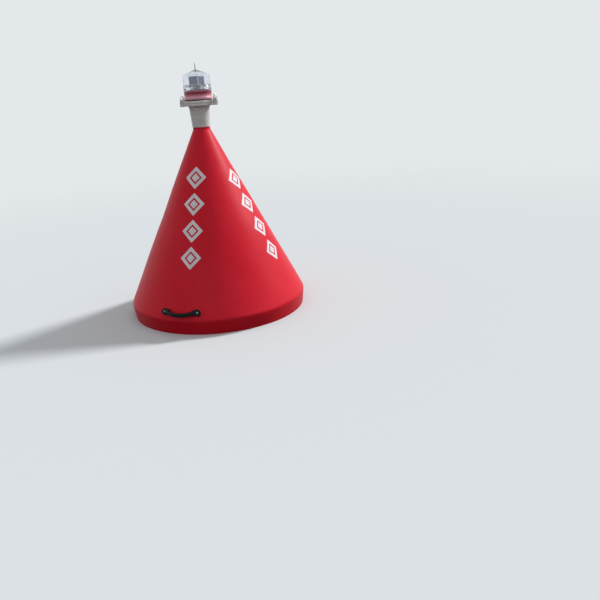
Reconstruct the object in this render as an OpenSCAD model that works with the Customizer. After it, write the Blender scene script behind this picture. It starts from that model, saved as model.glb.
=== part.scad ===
// Conical navigation buoy: a foam-filled polyethylene float with a white lamp neck and a solar lantern.
// Millimetres, +Z up. The origin is the middle of the flat foot, and -Y is the side of one handle.

/* [Float] */
// Diameter at the rim, the widest place
rim_d = 996; // [800:2:1300]
// Height of the rim's edge above the foot
rim_z = 182; // [140:2:260]
// Height of the cone above the rim
cone_h = 928; // [700:2:1200]
// Diameter of the stub on the cone, whose flat top carries the lamp neck
top_d = 92; // [70:2:120]
// Height of that stub
stub_h = 12; // [6:1:20]
// Inward slope of the skirt below the rim, in degrees from upright
skirt_slope = 7; // [3:1:20]
// Radius that rounds the rim, where the cone turns into the skirt
rim_round = 40; // [10:1:60]
// Radius that rounds the foot's outer edge
foot_round = 45; // [15:1:60]
// Radius of the fillet between cone and stub
stub_fillet = 30; // [5:1:40]
// Radius that rounds the edge of the flat top
top_round = 2; // [1:0.5:4]

/* [Recess under the float] */
// Diameter of the mooring recess at its ceiling
recess_d = 240; // [225:5:340]
// Depth of the mooring recess
recess_depth = 130; // [125:5:150]
// Draft of the recess wall, in degrees
recess_draft = 5; // [2:1:12]
// Radius that rounds the edge of the recess's ceiling
recess_round = 10; // [4:1:14]
// Radius that rounds the edge of the recess's mouth
mouth_round = 14; // [6:1:20]
// Diameter of the foam-filling plug
plug_d = 64; // [40:2:90]
// Thickness of the foam-filling plug
plug_t = 9; // [6:1:12]
// Depth that the plug is sunk into the foot
plug_sink = 9; // [4:1:14]
// Clearance round the plug
plug_gap = 0.5; // [0.3:0.1:0.8]
// Distance of the plug from the middle
plug_at = 300; // [240:10:340]
// Width of the square that turns the plug
plug_drive_w = 19; // [12:1:25]

/* [Ballast and mooring eye] */
// Diameter of the cast ballast disc
ballast_d = 204; // [160:2:214]
// Thickness of the cast ballast disc
ballast_t = 24; // [16:1:28]
// Radius that rounds the disc's lower edge
ballast_round = 5; // [2:1:8]
// Diameter of the mooring plate
plate_d = 124; // [100:2:150]
// Thickness of the mooring plate
plate_t = 10; // [8:1:12]
// Diameter of the circle of bolts through the plate
plate_pcd = 96; // [80:2:100]
// Diameter of the plate's bolt holes
plate_hole_d = 11; // [9:0.5:14]
// Thickness of the mooring eye
eye_t = 14; // [10:1:16]
// Radius of the mooring eye's round end
eye_r = 21; // [18:1:24]
// Flare of the mooring eye on each side, down to the plate
eye_flare = 6; // [0:1:12]

/* [Mooring shackle] */
// Diameter of the shackle's pin
pin_d = 16; // [12:1:18]
// Diameter of the bar that the bow is bent from
bow_bar_d = 13; // [10:1:14]
// Clear width between the bow's two ears
jaw_w = 22; // [20:1:28]
// Length from the pin's axis to the inside of the bow
bow_len = 46; // [42:1:50]
// Radius of the bow's ears
bow_ear_r = 15; // [13:1:16]
// Clearance between an eye's hole and the pin, on the radius
pin_gap = 0.5; // [0.3:0.1:0.8]
// Clearance between the bow's holes and the pin, on the radius
bow_gap = 0.1; // [0.05:0.05:0.2]
// How far the pin's head stays inside the edge of the bow's ear
pin_head_inset = 2; // [1:0.5:4]
// Room between the bow's ears and the mooring plate
swing_gap = 6; // [5:0.5:9]
// Thickness of the pin's head and of its flat key
pin_head_t = 5; // [4:0.5:7]
// Reach of the pin's key beyond its head
key_len = 13; // [8:1:15]
// Width of the pin's key
key_w = 18; // [14:1:22]

/* [Handles] */
// Distance between the two bolts of a handle, measured straight
handle_span = 183; // [150:1:240]
// Height of the bolts above the rim
handle_z = 40; // [36:1:80]
// Diameter of the grip
grip_d = 21; // [14:1:24]
// Diameter of the knuckle where the grip grows out of its lug
knuckle_d = 26; // [25:1:29]
// How far the middle of the grip stands out from its ends
grip_out = 35; // [25:1:50]
// How far the middle of the grip hangs below its ends
grip_drop = 5; // [0:1:20]
// Width of a handle's flat lug round its bolt
lug_w = 38; // [30:1:44]
// Width of that lug where the grip starts
lug_neck_w = 30; // [28:1:36]
// Thickness of a handle's flat lug
lug_t = 11; // [8:1:14]
// Distance from the bolt to the start of the grip
lug_len = 18; // [14:1:26]
// Diameter of a handle's bolt hole
lug_hole_d = 9; // [6:0.5:11]
// Height of the moulded boss under each lug
boss_h = 5; // [3:0.5:8]
// Flare of that boss on each side, down to the wall
boss_flare = 4; // [1:0.5:8]

/* [Lamp neck] */
// Height of the neck
neck_h = 110; // [80:1:160]
// Diameter of the neck at its foot
neck_foot_d = 97; // [80:1:120]
// Diameter of the neck under its flange
neck_top_d = 110; // [90:1:130]
// Thickness of the neck's flange
flange_t = 12; // [8:1:20]
// Diameter of the round part of both flanges
flange_d = 158; // [152:1:170]
// Diameter of the circle of lantern bolts
ear_pcd = 200; // [190:1:220]
// Width of a flange ear
ear_w = 28; // [24:1:36]
// Width of a flange ear's root, where it leaves the round part
ear_root_w = 50; // [40:1:70]
// Diameter of the lantern's bolt holes
ear_hole_d = 9; // [7:0.5:11]
// Number of flange ears
ears = 3; // [2:1:4]
// Turn of the lantern from the front handle, in degrees
lantern_turn = 27; // [0:1:60]

/* [Lantern] */
// Thickness of the lantern's own flange
lantern_base_t = 14; // [10:1:24]
// Height of the raised seat for each lantern bolt
ear_seat_h = 10; // [4:0.5:14]
// Diameter of that seat
ear_seat_d = 24; // [18:1:25]
// Height of the gasket that shows between flange and lens
gasket_h = 7; // [3:0.5:9]
// How far the gasket stays back from the battery housing's edge
gasket_inset = 1.5; // [0.5:0.5:3]
// Diameter of the red battery housing at its foot
lens_foot_d = 150; // [142:1:154]
// Diameter of the lens cover at its shoulder
lens_top_d = 140; // [130:1:150]
// Height from the battery housing's foot to the lens cover's shoulder
lens_wall_h = 124; // [118:1:150]
// Height of the battery housing's visible wall, which carries the lens cover
housing_h = 38; // [30:1:42]
// Clearance between the battery housing's spigot and the inside of the lens cover
housing_gap = 1; // [0.5:0.5:4]
// Rise of the lens cover's conical cap
cap_rise = 25; // [16:1:34]
// Wall thickness of the lens cover
lens_wall = 3; // [2:0.2:4]
// Radius that rounds the lens cover's shoulder
shoulder_round = 6; // [4:1:10]
// Number of rings in the lens belt
belt_rings = 7; // [7:2:9]
// Height of one ring of the lens belt
belt_pitch = 3.8; // [3.6:0.1:4.2]
// Depth of the lens belt's steps
belt_step = 1.7; // [1:0.1:2.2]
// Height of the plain wall under the lens belt
belt_foot = 9.2; // [6:0.1:12]
// Diameter of the board that carries the lamps
board_d = 92; // [70:1:110]
// Thickness of that board
board_t = 6; // [4:0.5:7]
// Number of lamps round the board
lamps = 8; // [6:1:12]
// Diameter of one lamp's dome
lamp_d = 9; // [6:0.5:10]
// Distance from the board's edge to the lamps
lamp_inset = 2; // [1:0.5:6]
// Height of the post between the board and the panel block
post_h = 18; // [14:1:22]
// Diameter of that post
post_d = 44; // [30:1:56]
// Width of the square panel block
block_w = 56; // [44:1:66]
// Height of a solar panel
panel_h = 42; // [30:1:46]
// Width of a solar panel
panel_w = 54; // [42:1:62]
// Thickness of a solar panel
panel_t = 3; // [2:0.5:4]
// Turn of the panel block from the lantern's front, in degrees
panel_turn = 9; // [0:1:45]
// Length of the bird spike above the cap
spike_h = 33; // [25:1:60]
// Diameter of the bird spike at its foot
spike_foot_d = 9; // [7:0.5:12]
// Diameter of the bird spike's rounded tip
spike_tip_d = 5; // [3:0.5:6]
// Width of the flat rim round the spike on top of the cap
cap_land = 2; // [1:0.5:4]

/* [Hidden] */
$fn = 96;

rim_r = rim_d / 2;
top_r = top_d / 2;
stub_z = rim_z + cone_h;
top_z = stub_z + stub_h;
foot_r = rim_r - rim_z * tan(skirt_slope);
cone_angle = atan((rim_r - top_r) / cone_h);
recess_r = recess_d / 2;
recess_mouth_r = recess_r + recess_depth * tan(recess_draft);

plate_z = recess_depth - ballast_t - plate_t;
pin_z = plate_z - swing_gap - bow_ear_r;
bow_bend_r = jaw_w / 2 + bow_bar_d / 2;
pin_len = jaw_w + 2 * bow_bar_d;

bolt_z = rim_z + handle_z;
bolt_r = rim_r - handle_z * tan(cone_angle);
bolt_turn = asin(handle_span / 2 / bolt_r);
lug_mid = boss_h + lug_t / 2;

neck_flange_z = top_z + neck_h;
lantern_z = neck_flange_z + flange_t;
gasket_z = lantern_z + lantern_base_t;
lens_z = gasket_z + gasket_h;
lens_foot_r = lens_foot_d / 2;
lens_top_r = lens_top_d / 2;
spigot_r = lens_wall_r(housing_h) - lens_wall - housing_gap;
belt_mid = housing_h + belt_foot + belt_rings * belt_pitch / 2;
board_z = lens_z + belt_mid - lamp_d / 2 - board_t;
post_z = board_z + board_t;
block_z = post_z + post_h;
cap_r = spike_foot_d / 2 + cap_land;
apex_z = lens_z + lens_wall_h + cap_rise;

// Outer radius of the lantern's smooth wall at a height above the battery housing's foot
function lens_wall_r(z) = lens_foot_r + (lens_top_r - lens_foot_r) * z / lens_wall_h;

// Points of the arc of radius r that rounds the corner b of the path a, b, c
function corner(a, b, c, r) =
    let (
        u = (a - b) / norm(a - b),
        v = (c - b) / norm(c - b),
        half = acos(u * v) / 2,
        mid = b + (u + v) / norm(u + v) * r / sin(half),
        from = b + u * r / tan(half) - mid,
        start = atan2(from.y, from.x),
        sweep = (180 - 2 * half) * (cross(v, u) > 0 ? 1 : -1),
        steps = 6
    )
    r == 0 ? [b] : [
        for (i = [0:steps]) let (turn = start + sweep * i / steps) mid + r * [cos(turn), sin(turn)]
    ];

// Closed outline from rows of [x, y, rounding radius]
function outline(rows) =
    let (n = len(rows), xy = [for (p = rows) [p[0], p[1]]])
    [for (i = [0:n - 1]) each corner(xy[(i + n - 1) % n], xy[i], xy[(i + 1) % n], rows[i][2])];

// Solid of revolution about Z from rows of [radius, height, rounding radius]
module turned(rows) {
    rotate_extrude() polygon(outline(rows));
}

// Children set on the cone's wall at one handle bolt: +Z is the wall's outward normal, side is -1 or 1
module on_wall(side) {
    rotate([0, 0, side * bolt_turn]) translate([0, -bolt_r, bolt_z]) rotate([90 - cone_angle, 0, 0])
        children();
}

module float_hull() {
    color("firebrick") difference() {
        union() {
            turned([
                [0, recess_depth, 0],
                [recess_r, recess_depth, recess_round],
                [recess_mouth_r, 0, mouth_round],
                [foot_r, 0, foot_round],
                [rim_r, rim_z, rim_round],
                [top_r, stub_z, stub_fillet],
                [top_r, top_z, top_round],
                [0, top_z, 0]
            ]);
            for (back = [0, 180]) rotate([0, 0, back]) for (side = [-1, 1]) on_wall(side) boss();
        }
        translate([0, plug_at, -1]) cylinder(d = plug_d + 2 * plug_gap, h = 1 + plug_sink + plug_t);
    }
}

// Moulded boss that a handle's lug seats on, with a flared root sunk into the wall
module boss() {
    root_d = lug_w + 2 * boss_flare;
    sunk = boss_flare + 2;
    lift = 0.5;
    translate([0, 0, -sunk]) cylinder(d = root_d, h = sunk + lift);
    translate([0, 0, lift]) cylinder(d1 = root_d, d2 = lug_w, h = boss_h - lift);
}

module fill_plug() {
    color("darkred") translate([0, plug_at, plug_sink]) difference() {
        cylinder(d = plug_d, h = plug_t);
        translate([0, 0, -1]) linear_extrude(plug_t / 2 + 1) square(plug_drive_w, center = true);
    }
}

module ballast_disc() {
    color("dimgray") translate([0, 0, recess_depth - ballast_t]) turned([
        [0, 0, 0],
        [ballast_d / 2, 0, ballast_round],
        [ballast_d / 2, ballast_t, 0],
        [0, ballast_t, 0]
    ]);
}

module mooring_plate() {
    color("silver") translate([0, 0, plate_z]) difference() {
        cylinder(d = plate_d, h = plate_t);
        for (i = [0:3]) rotate([0, 0, 45 + 90 * i]) translate([plate_pcd / 2, 0, -1])
            cylinder(d = plate_hole_d, h = plate_t + 2);
    }
}

module mooring_eye() {
    color("silver") rotate([90, 0, 90]) translate([0, 0, -eye_t / 2]) linear_extrude(eye_t) difference() {
        union() {
            translate([0, pin_z]) circle(r = eye_r);
            polygon([
                [-eye_r, pin_z],
                [eye_r, pin_z],
                [eye_r + eye_flare, plate_z],
                [-eye_r - eye_flare, plate_z]
            ]);
        }
        translate([0, pin_z]) circle(d = pin_d + 2 * pin_gap);
    }
}

module shackle_bow() {
    bend_z = pin_z - bow_len + jaw_w / 2;
    color("lightgray") difference() {
        union() {
            for (side = [-1, 1]) translate([side * bow_bend_r, 0, 0]) {
                translate([0, 0, bend_z]) cylinder(d = bow_bar_d, h = pin_z - bend_z);
                translate([0, 0, pin_z]) rotate([0, 90, 0])
                    cylinder(r = bow_ear_r, h = bow_bar_d, center = true);
            }
            translate([0, 0, bend_z]) rotate([90, 0, 0]) rotate([0, 0, 180])
                rotate_extrude(angle = 180) translate([bow_bend_r, 0]) circle(d = bow_bar_d);
        }
        translate([0, 0, pin_z]) rotate([0, 90, 0]) cylinder(d = pin_d + 2 * bow_gap, h = pin_len + 2, center = true);
    }
}

// Pin along X with a round head and a flat key to turn it by
module shackle_pin() {
    color("gray") translate([0, 0, pin_z]) rotate([0, 90, 0]) {
        cylinder(d = pin_d, h = pin_len, center = true);
        translate([0, 0, pin_len / 2]) cylinder(r = bow_ear_r - pin_head_inset, h = pin_head_t);
    }
    color("gray") translate([pin_len / 2 + pin_head_t, 0, pin_z - pin_head_t / 2]) linear_extrude(pin_head_t)
        difference() {
            translate([0, -key_w / 2]) square([key_len, key_w]);
            translate([key_len / 2, 0]) circle(d = key_len / 2);
        }
}

// Outline of a lug, from its round end at the bolt to its narrower end under the grip
module lug(side) {
    end = -side * lug_len;
    circle(d = lug_w);
    translate([end, 0]) circle(d = lug_neck_w);
    polygon([
        [0, -lug_w / 2],
        [end, -lug_neck_w / 2],
        [end, lug_neck_w / 2],
        [0, lug_w / 2]
    ]);
}

// Rubber handle: two bolted lugs and an arched grip that hangs a little below them
module handle() {
    grip_sag = norm([grip_out, grip_drop]);
    end_r = bolt_r + lug_mid * cos(cone_angle);
    end_x = end_r * sin(bolt_turn) - lug_len * cos(bolt_turn);
    end_y = end_r * cos(bolt_turn) + lug_len * sin(bolt_turn);
    end_z = bolt_z + lug_mid * sin(cone_angle);
    arc_r = (end_x * end_x + grip_sag * grip_sag) / (2 * grip_sag);
    arc_half = asin(end_x / arc_r);
    color([0.08, 0.08, 0.09]) difference() {
        union() {
            for (side = [-1, 1]) on_wall(side) {
                translate([0, 0, boss_h]) linear_extrude(lug_t) lug(side);
                translate([-side * lug_len, 0, lug_mid]) sphere(d = knuckle_d);
            }
            translate([0, -end_y, end_z]) rotate([atan2(grip_drop, grip_out), 0, 0])
                translate([0, arc_r - grip_sag, 0]) rotate([0, 0, -90 - arc_half])
                    rotate_extrude(angle = 2 * arc_half) translate([arc_r, 0]) circle(d = grip_d);
        }
        for (side = [-1, 1]) on_wall(side) {
            translate([0, 0, boss_h - knuckle_d]) cylinder(r = lug_w * 1.5, h = knuckle_d);
            cylinder(d = lug_hole_d, h = boss_h + lug_t + knuckle_d);
        }
    }
}

module handle_front() {
    handle();
}

module handle_back() {
    rotate([0, 0, 180]) handle();
}

module neck() {
    color("whitesmoke") translate([0, 0, top_z]) turned([
        [0, 0, 0],
        [neck_foot_d / 2, 0, 2],
        [neck_top_d / 2, neck_h, 0],
        [0, neck_h, 0]
    ]);
}

// Flange outline shared by the neck and the lantern, with its ears and their bolt holes
module flange(t) {
    root_sunk = 1.5;
    root_x = sqrt(flange_d * flange_d - ear_root_w * ear_root_w) / 2 - root_sunk;
    rotate([0, 0, lantern_turn - 90]) linear_extrude(t) difference() {
        union() {
            circle(d = flange_d);
            for (i = [0:ears - 1]) rotate([0, 0, 180 + 360 / ears * i]) {
                translate([ear_pcd / 2, 0]) circle(d = ear_w);
                polygon([
                    [0, -ear_root_w / 2],
                    [root_x, -ear_root_w / 2],
                    [ear_pcd / 2, -ear_w / 2],
                    [ear_pcd / 2, ear_w / 2],
                    [root_x, ear_root_w / 2],
                    [0, ear_root_w / 2]
                ]);
            }
        }
        for (i = [0:ears - 1]) rotate([0, 0, 180 + 360 / ears * i]) translate([ear_pcd / 2, 0])
            circle(d = ear_hole_d);
    }
}

module neck_flange() {
    color("whitesmoke") translate([0, 0, neck_flange_z]) flange(flange_t);
}

// The lantern's flange, with a raised seat on each ear for the bolt that holds it on the neck
module lantern_base() {
    color("white") translate([0, 0, lantern_z]) {
        flange(lantern_base_t);
        rotate([0, 0, lantern_turn - 90]) for (i = [0:ears - 1]) rotate([0, 0, 180 + 360 / ears * i])
            translate([ear_pcd / 2, 0, lantern_base_t]) difference() {
                cylinder(d = ear_seat_d, h = ear_seat_h);
                translate([0, 0, -1]) cylinder(d = ear_hole_d, h = ear_seat_h + 2);
            }
    }
}

module gasket() {
    color([0.15, 0.12, 0.13]) translate([0, 0, gasket_z]) cylinder(r = lens_foot_r - gasket_inset, h = gasket_h);
}

// Red housing under the lens cover: its wall goes on in the cover's, and a spigot enters the cover
module battery_housing() {
    edge = 0.8;
    color("crimson") translate([0, 0, lens_z]) turned([
        [0, 0, 0],
        [lens_foot_r, 0, edge],
        [lens_wall_r(housing_h), housing_h, edge],
        [spigot_r, housing_h, 0],
        [spigot_r, board_z - lens_z, edge],
        [0, board_z - lens_z, 0]
    ]);
}

module lamp_board() {
    color("dimgray") translate([0, 0, board_z]) cylinder(d = board_d, h = board_t);
}

module lamp_domes() {
    color("gold") for (i = [0:lamps - 1]) rotate([0, 0, 360 / lamps * i])
        translate([board_d / 2 - lamp_d / 2 - lamp_inset, 0, post_z]) {
            cylinder(d = lamp_d, h = lamp_d / 2);
            translate([0, 0, lamp_d / 2]) sphere(d = lamp_d);
        }
}

// Children turned with the panel block, whose faces look along X and Y
module panel_frame() {
    rotate([0, 0, lantern_turn + panel_turn + 45]) children();
}

module panel_block() {
    color("lightsteelblue") {
        translate([0, 0, post_z]) cylinder(d = post_d, h = post_h);
        panel_frame() translate([-block_w / 2, -block_w / 2, block_z]) cube([block_w, block_w, panel_h]);
    }
}

module solar_panel(turn) {
    color("midnightblue") panel_frame() rotate([0, 0, turn])
        translate([-panel_w / 2, -block_w / 2 - panel_t, block_z]) cube([panel_w, panel_t, panel_h]);
}

// Points of the stepped lens belt's outside, from its lowest ring to its highest
function belt() =
    let (half = (belt_rings - 1) / 2)
    [for (i = [-half:half])
        let (
            z0 = belt_mid + (i - 0.5) * belt_pitch,
            z1 = z0 + belt_pitch,
            low = i <= 0 ? (i == 0 ? belt_step : 0) : belt_step,
            high = i >= 0 ? (i == 0 ? belt_step : 0) : belt_step
        )
        each [[lens_wall_r(z0) + low, z0], [lens_wall_r(z1) + high, z1]]
    ];

module lens_cover() {
    slope = atan(cap_rise / (lens_top_r - cap_r));
    cap_drop = lens_wall / cos(slope);
    foot = [lens_wall_r(housing_h), housing_h];
    shoulder = [lens_top_r, lens_wall_h];
    apex = [cap_r, lens_wall_h + cap_rise];
    inner_foot = [foot.x - lens_wall, housing_h];
    inner_shoulder = [lens_top_r - lens_wall, lens_wall_h + lens_wall * tan(slope) - cap_drop];
    inner_apex = [cap_r, apex.y - cap_drop];
    outside = concat([foot], belt(), corner(foot, shoulder, apex, shoulder_round), [apex, [0, apex.y]]);
    inside = concat(
        [[0, inner_apex.y], inner_apex],
        corner(inner_apex, inner_shoulder, inner_foot, shoulder_round - lens_wall / 2),
        [inner_foot]
    );
    color([0.85, 0.92, 0.95, 0.4]) translate([0, 0, lens_z]) rotate_extrude()
        polygon(concat(outside, inside));
}

module bird_spike() {
    color("aliceblue") translate([0, 0, apex_z]) {
        cylinder(d1 = spike_foot_d, d2 = spike_tip_d, h = spike_h - spike_tip_d / 2);
        translate([0, 0, spike_h - spike_tip_d / 2]) sphere(d = spike_tip_d);
    }
}

float_hull();
fill_plug();
ballast_disc();
mooring_plate();
mooring_eye();
shackle_bow();
shackle_pin();
handle_front();
handle_back();
neck();
neck_flange();
lantern_base();
gasket();
battery_housing();
lamp_board();
lamp_domes();
panel_block();
solar_panel(0);  // solar_panel_1
solar_panel(90);  // solar_panel_2
solar_panel(180);  // solar_panel_3
solar_panel(270);  // solar_panel_4
lens_cover();
bird_spike();
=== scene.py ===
# %% [markdown]
# # Conical navigation buoy
# The buoy is a red rotationally moulded float with a white lamp neck and a clear solar lantern on top.
# The exact solids come from a CAD model, which is loaded as a fixed frame: it says where everything
# sits, and this script dresses it. A solid whose shape is right keeps its mesh and gets a finish, and
# one that needs softer edges or finer forms is replaced by a piece that is modelled here by hand.

# %% Load the frame
import functools
import math

import bmesh
import bpy
from mathutils import Matrix, Vector


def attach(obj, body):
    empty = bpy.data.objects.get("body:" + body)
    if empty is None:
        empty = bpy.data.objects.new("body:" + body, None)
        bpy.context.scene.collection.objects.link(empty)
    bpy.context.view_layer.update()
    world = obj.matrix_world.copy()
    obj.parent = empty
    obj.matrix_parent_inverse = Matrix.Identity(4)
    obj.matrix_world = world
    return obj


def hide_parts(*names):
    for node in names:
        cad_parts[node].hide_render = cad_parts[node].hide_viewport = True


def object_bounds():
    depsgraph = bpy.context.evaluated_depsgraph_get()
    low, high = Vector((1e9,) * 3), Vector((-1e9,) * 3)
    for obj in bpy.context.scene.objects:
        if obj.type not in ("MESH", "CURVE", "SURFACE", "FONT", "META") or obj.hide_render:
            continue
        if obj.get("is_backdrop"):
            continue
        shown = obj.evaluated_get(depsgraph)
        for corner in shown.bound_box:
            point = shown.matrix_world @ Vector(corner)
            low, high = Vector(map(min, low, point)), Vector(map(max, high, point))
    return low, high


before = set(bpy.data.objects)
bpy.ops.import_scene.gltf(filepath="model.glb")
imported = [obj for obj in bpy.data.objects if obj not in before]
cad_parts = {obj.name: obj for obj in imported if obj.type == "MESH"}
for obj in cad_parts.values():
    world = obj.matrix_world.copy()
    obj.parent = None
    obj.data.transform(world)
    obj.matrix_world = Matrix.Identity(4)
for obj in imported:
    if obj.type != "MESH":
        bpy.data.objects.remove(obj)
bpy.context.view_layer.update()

# %% [markdown]
# The pieces are sized in millimetres, as on a drawing, and turned into metres by one factor. Only the
# stage and the materials are in metres throughout. The sizes repeat those of the CAD model, so that each
# piece sits where its solid sits.

# %% Sizes that several pieces share
MM = 0.001
RIM_R, RIM_Z = 498.0, 182.0
TOP_R, STUB_Z, TOP_Z = 46.0, 1110.0, 1122.0
SKIRT_SLOPE = 7.0
FOOT_R = RIM_R - RIM_Z * math.tan(math.radians(SKIRT_SLOPE))
CONE_ANGLE = math.atan((RIM_R - TOP_R) / (STUB_Z - RIM_Z))
WATERLINE_Z = 106.0
NECK_FLANGE_Z, LANTERN_Z, GASKET_Z, LENS_Z = 1232.0, 1244.0, 1258.0, 1265.0
LANTERN_TURN = math.radians(27)
print("cone half angle:", round(math.degrees(CONE_ANGLE), 2), "foot radius:", round(FOOT_R, 1))

# %% [markdown]
# Operators act on whatever is selected, and the loaded solids are all selected at first. These helpers
# keep that in hand: one selects a single object, and one picks vertices, edges or faces in edit mode by
# a test on their place, which is what a mouse click would do in the window.


# %% Helpers for selecting
def only(obj):
    """Selects one object, and nothing else, and makes it the active one."""
    bpy.ops.object.select_all(action="DESELECT")
    obj.select_set(True)
    bpy.context.view_layer.objects.active = obj


def edit(obj):
    """Opens one object in edit mode with its whole mesh selected."""
    only(obj)
    bpy.ops.object.mode_set(mode="EDIT")
    bpy.ops.mesh.select_all(action="SELECT")


def leave():
    """Returns to object mode, which writes the edits into the mesh."""
    bpy.ops.object.mode_set(mode="OBJECT")


def pick(kind, test):
    """In edit mode, selects the vertices, edges or faces that pass a test."""
    bpy.ops.mesh.select_mode(type=kind)
    bpy.ops.mesh.select_all(action="DESELECT")
    mesh = bmesh.from_edit_mesh(bpy.context.edit_object.data)
    for item in {"VERT": mesh.verts, "EDGE": mesh.edges, "FACE": mesh.faces}[kind]:
        if test(item):
            item.select_set(True)
    mesh.select_flush_mode()
    bmesh.update_edit_mesh(bpy.context.edit_object.data)


# %% [markdown]
# A finished piece has its origin at the world's origin, with its place kept in its mesh. So a piece is
# modelled where that is easy, moved by a matrix in millimetres, and settled. What is no longer needed,
# such as the cylinder that cut a hole, is thrown away.


# %% Helpers for placing and copying
def at(x, y, z):
    """The matrix of a move in millimetres."""
    return Matrix.Translation(Vector((x, y, z)) * MM)


def about_z(angle):
    """The matrix of a turn about the buoy's own axis."""
    return Matrix.Rotation(angle, 4, "Z")


def settle(obj):
    """Puts the object's origin at the world's origin, with its place kept in its mesh."""
    only(obj)
    bpy.ops.object.transform_apply(location=True, rotation=True, scale=True)
    return obj


def moved(obj, matrix):
    """Takes a piece to the place that a matrix gives."""
    obj.matrix_world = matrix
    return settle(obj)


def copy_to(obj, matrix):
    """A copy with its own mesh, put in another place."""
    new = obj.copy()
    new.data = obj.data.copy()
    bpy.context.scene.collection.objects.link(new)
    return moved(new, matrix)


def joined(name, parts):
    """Joins several pieces into one object."""
    only(parts[0])
    for part in parts[1:]:
        part.select_set(True)
    if len(parts) > 1:
        bpy.ops.object.join()
    parts[0].name = name
    return parts[0]


def discard(*objects):
    """Throws helper objects away."""
    for obj in objects:
        bpy.data.objects.remove(obj)


# %% Helpers for edges, holes and smooth faces
def apply_all(obj):
    """Applies every modifier of an object, in their order."""
    only(obj)
    for modifier in list(obj.modifiers):
        bpy.ops.object.modifier_apply(modifier=modifier.name)
    return obj


def smooth(obj, degrees=32):
    """Shades faces as one smooth skin, except across edges that turn by more than some degrees."""
    only(obj)
    bpy.ops.object.shade_smooth_by_angle(angle=math.radians(degrees))
    return obj


def eased(obj, width, segments, degrees=30):
    """Rounds the edges that turn by more than some degrees."""
    bevel = obj.modifiers.new("edge", "BEVEL")
    bevel.width, bevel.segments = width * MM, segments
    bevel.limit_method, bevel.angle_limit = "ANGLE", math.radians(degrees)
    return apply_all(obj)


def cylinder(radius, depth, middle, sides=48):
    """A straight cylinder, whose middle and direction are given by a matrix."""
    bpy.ops.mesh.primitive_cylinder_add(vertices=sides, radius=radius * MM, depth=depth * MM)
    return moved(bpy.context.object, middle)


def box(name, sizes, middle):
    """A box of three sizes about its middle."""
    bpy.ops.mesh.primitive_cube_add(size=1, location=Vector(middle) * MM)
    made = bpy.context.object
    made.name, made.scale = name, Vector(sizes) * MM
    return settle(made)


def drill(obj, radius, depth, middle, sides=48):
    """Cuts a straight hole in the shape of a cylinder."""
    cutter = cylinder(radius, depth, middle, sides)
    hole = obj.modifiers.new("hole", "BOOLEAN")
    hole.operation, hole.object, hole.solver = "DIFFERENCE", cutter, "EXACT"
    apply_all(obj)
    discard(cutter)
    return obj


bpy.ops.object.select_all(action="DESELECT")
print("nothing is selected:", not bpy.context.selected_objects)

# %% [markdown]
# Most of this object is round, so most of its pieces are turned, as on a lathe: half of the outline is
# drawn in the XZ plane and spun about the Z axis. The outline is drawn with a pen: a plane is merged to
# one vertex, and that vertex is extruded from point to point. Corners get real radii, because no
# moulded or cast thing has a perfectly sharp edge, and the radius is what catches the light.


# %% Helpers for outlines
def rounded(rows, steps=6):
    """Points of a path of [x, z, radius] rows with each corner rounded, in millimetres."""
    points = []
    for i, (x, z, r) in enumerate(rows):
        b = Vector((x, z))
        if not r:
            points.append(b)
            continue
        a, c = Vector(rows[i - 1][:2]), Vector(rows[(i + 1) % len(rows)][:2])
        u, v = (a - b).normalized(), (c - b).normalized()
        half = u.angle(v) / 2
        middle = b + (u + v).normalized() * (r / math.sin(half))
        first, last = b + u * (r / math.tan(half)) - middle, b + v * (r / math.tan(half)) - middle
        turn = first.angle_signed(last)
        for k in range(steps + 1):
            points.append(middle + Matrix.Rotation(-turn * k / steps, 2) @ first)
    return points


def spaced(points, gap):
    """The same path with extra points, so that no step is longer than the gap."""
    out = [points[0]]
    for a, b in zip(points, points[1:]):
        n = max(1, math.ceil((b - a).length / gap))
        out += [a.lerp(b, k / n) for k in range(1, n + 1)]
    return out


def arc(middle, radii, start, end, steps):
    """Points of an arc of a circle or an ellipse. Its angles are in degrees from the X axis."""
    angles = [math.radians(start + (end - start) * k / steps) for k in range(steps + 1)]
    (x, z), (rx, rz) = middle, radii
    return [Vector((x + rx * math.cos(a), z + rz * math.sin(a))) for a in angles]


# %% Helpers for turned pieces
def pen(name, points):
    """Draws a chain of edges through the points, which are in metres, and stays in edit mode."""
    bpy.ops.mesh.primitive_plane_add(size=MM, location=points[0])
    obj = bpy.context.object
    obj.name = name
    bpy.ops.object.mode_set(mode="EDIT")
    bpy.ops.mesh.select_mode(type="VERT")
    bpy.ops.mesh.select_all(action="SELECT")
    bpy.ops.mesh.merge(type="CENTER")
    for a, b in zip(points, points[1:]):
        bpy.ops.mesh.extrude_region_move(TRANSFORM_OT_translate={"value": b - a})
    return obj


def clean(obj):
    """Merges doubled vertices and points every face outwards."""
    edit(obj)
    bpy.ops.mesh.remove_doubles(threshold=1e-6)
    bpy.ops.mesh.normals_make_consistent(inside=False)
    leave()
    return obj


def turned(name, points, steps=96):
    """Spins an outline of points in millimetres about the Z axis into a piece in metres."""
    obj = pen(name, [Vector((p.x, 0, p.y)) * MM for p in points])
    bpy.ops.mesh.select_all(action="SELECT")
    bpy.ops.mesh.spin(steps=steps, angle=math.tau, center=(0, 0, 0), axis=(0, 0, 1))
    leave()
    settle(obj)
    return clean(obj)


# %% [markdown]
# A material is a small tree of nodes. One function adds a node with its settings and its links, and
# one turns the sRGB colour codes that people read into the linear values that Blender works with.
# Object coordinates are used for the patterns: every piece has its origin at the world's origin, so they
# are real metres, and a pattern keeps its true size from piece to piece. A pattern's Scale is the number
# of its patches in a metre, so a Scale of 34 draws patches of about 30 mm. A Mix node, which here always
# mixes colours, has an A and a B for every type of data, so those of the colours are taken by number.


# %% Helpers for nodes
FACTOR, A, B = 0, 6, 7


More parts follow.
